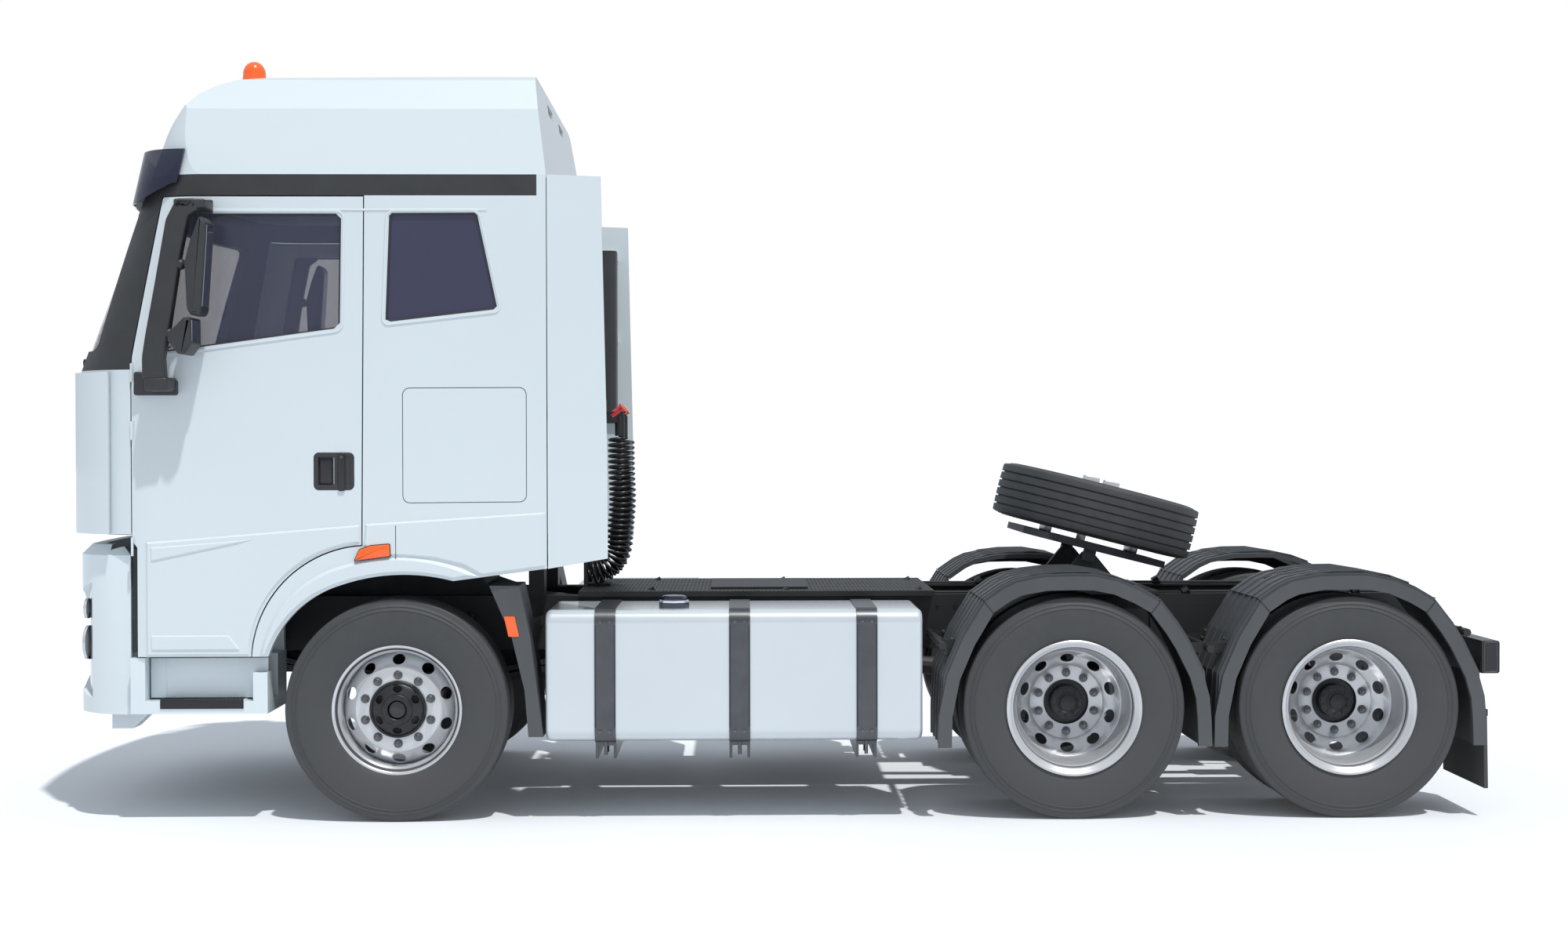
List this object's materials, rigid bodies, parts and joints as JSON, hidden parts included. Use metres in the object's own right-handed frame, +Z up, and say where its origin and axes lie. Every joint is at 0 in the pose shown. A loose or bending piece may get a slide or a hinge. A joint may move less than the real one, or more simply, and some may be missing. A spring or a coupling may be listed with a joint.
{
  "type": "semi truck tractor unit",
  "caption": "Cab-over tractor unit with a sleeper cab, tandem drive axles, and a fifth wheel carrying a spare wheel.",
  "frame": {"origin": "on the road, midway along the overall length and midway between the sides", "axes": "+X rearward along the truck, +Y to the truck's right, +Z up; the truck faces -X"},
  "size_m": [7.09, 2.98, 3.775],
  "materials": {
    "cab_paint": "gloss bluish white paint",
    "dark_trim": "satin black plastic",
    "glass": "tinted, clear",
    "visor_plastic": "smoked, glossy",
    "orange_lens": "glossy translucent",
    "interior_plastic": "grained",
    "seat_fabric": "woven",
    "chassis_paint": "satin black paint",
    "cast": "rough, painted",
    "tank_metal": "satin pale silver",
    "strap_metal": "satin dark metallic",
    "bumper_plastic": "satin bluish white",
    "fender_plastic": "grained dark grey",
    "rubber": "matt",
    "tyre": "matt tread and satin sidewall",
    "rim_silver": "bright satin",
    "walkway": "chequered",
    "hose_plastic": "glossy black tube",
    "lamp_housing": "dark housing with lenses"
  },
  "bodies": {
    "chassis": {"chassis_rails": "chassis_paint", "cross_members": "chassis_paint", "engine": "cast", "front_axle": "chassis_paint", "drive_axles": "cast", "bogie_springs": "chassis_paint", "fuel_tank": "tank_metal", "tank_straps": "strap_metal", "silencer_box": "tank_metal", "battery_box": "dark_trim", "step_wells": "bumper_plastic", "bumper": "bumper_plastic", "headlamps": "glass", "front_mudguards": "fender_plastic", "rear_fenders": "fender_plastic", "fender_brackets": "chassis_paint", "mudflaps": "rubber", "tail_lamps": "lamp_housing", "catwalk": "walkway", "fifth_wheel_base": "chassis_paint", "hose_stand": "chassis_paint", "hose_left": "hose_plastic", "hose_right": "hose_plastic"},
    "cab": {"cab_floor": "chassis_paint", "cab_front": "cab_paint", "window_frame": "dark_trim", "cab_sides": "cab_paint", "cab_rear_wall": "cab_paint", "roof": "cab_paint", "cab_glass": "glass", "sun_visor": "visor_plastic", "side_deflectors": "cab_paint", "dashboard": "interior_plastic", "seats": "seat_fabric", "beacon": "orange_lens", "intake_duct": "dark_trim"},
    "door_left": {"door_left": "cab_paint", "door_glass_left": "glass", "mirrors_left": "dark_trim"},
    "door_right": {"door_right": "cab_paint", "door_glass_right": "glass", "mirrors_right": "dark_trim"},
    "flap": {"front_flap": "cab_paint"},
    "knuckle_left": {"knuckle_left": "cast"},
    "knuckle_right": {"knuckle_right": "cast"},
    "front_wheel_left": {"front_tyre_left": "tyre", "front_rim_left": "rim_silver"},
    "front_wheel_right": {"front_tyre_right": "tyre", "front_rim_right": "rim_silver"},
    "middle_wheels_left": {"middle_tyres_left": "tyre", "middle_rims_left": "rim_silver"},
    "middle_wheels_right": {"middle_tyres_right": "tyre", "middle_rims_right": "rim_silver"},
    "rear_wheels_left": {"rear_tyres_left": "tyre", "rear_rims_left": "rim_silver"},
    "rear_wheels_right": {"rear_tyres_right": "tyre", "rear_rims_right": "rim_silver"},
    "fifth_wheel": {"fifth_wheel_plate": "cast", "spare_tyre": "tyre", "spare_rim": "rim_silver"}
  },
  "joints": [
    {"name": "cab_tilt", "type": "hinge", "parent": "chassis", "child": "cab", "pos_m": [-3.355, 0, 0.85], "axis": [0, -1, 0], "range_deg": [0, 50]},
    {"name": "door_left_hinge", "type": "hinge", "parent": "cab", "child": "door_left", "pos_m": [-3.1, -1.2245, 1.8], "axis": [0, 0, -1], "range_deg": [0, 70]},
    {"name": "door_right_hinge", "type": "hinge", "parent": "cab", "child": "door_right", "pos_m": [-3.1, 1.2245, 1.8], "axis": [0, 0, 1], "range_deg": [0, 70]},
    {"name": "flap_hinge", "type": "hinge", "parent": "cab", "child": "flap", "pos_m": [-3.531, 0, 2.19], "axis": [0, 1, 0], "range_deg": [0, 65]},
    {"name": "steer_left", "type": "hinge", "parent": "chassis", "child": "knuckle_left", "pos_m": [-1.855, -0.94, 0.545], "axis": [0, 0, 1], "range_deg": [-36, 36]},
    {"name": "steer_right", "type": "hinge", "parent": "chassis", "child": "knuckle_right", "pos_m": [-1.855, 0.94, 0.545], "axis": [0, 0, 1], "range_deg": [-36, 36]},
    {"name": "front_wheel_left_spin", "type": "hinge", "parent": "knuckle_left", "child": "front_wheel_left", "pos_m": [-1.855, -1.065, 0.545], "axis": [0, 1, 0], "continuous": true},
    {"name": "front_wheel_right_spin", "type": "hinge", "parent": "knuckle_right", "child": "front_wheel_right", "pos_m": [-1.855, 1.065, 0.545], "axis": [0, 1, 0], "continuous": true},
    {"name": "middle_wheels_left_spin", "type": "hinge", "parent": "chassis", "child": "middle_wheels_left", "pos_m": [1.445, -0.912, 0.545], "axis": [0, 1, 0], "continuous": true},
    {"name": "middle_wheels_right_spin", "type": "hinge", "parent": "chassis", "child": "middle_wheels_right", "pos_m": [1.445, 0.912, 0.545], "axis": [0, 1, 0], "continuous": true},
    {"name": "rear_wheels_left_spin", "type": "hinge", "parent": "chassis", "child": "rear_wheels_left", "pos_m": [2.795, -0.912, 0.545], "axis": [0, 1, 0], "continuous": true},
    {"name": "rear_wheels_right_spin", "type": "hinge", "parent": "chassis", "child": "rear_wheels_right", "pos_m": [2.795, 0.912, 0.545], "axis": [0, 1, 0], "continuous": true},
    {"name": "fifth_wheel_tip", "type": "hinge", "parent": "chassis", "child": "fifth_wheel", "pos_m": [1.65, 0, 1.238], "axis": [0, -1, 0], "range_deg": [0, 22]}
  ],
  "couplings": [
    {"joint": "steer_right", "follows": "steer_left", "ratio": 1}
  ]
}
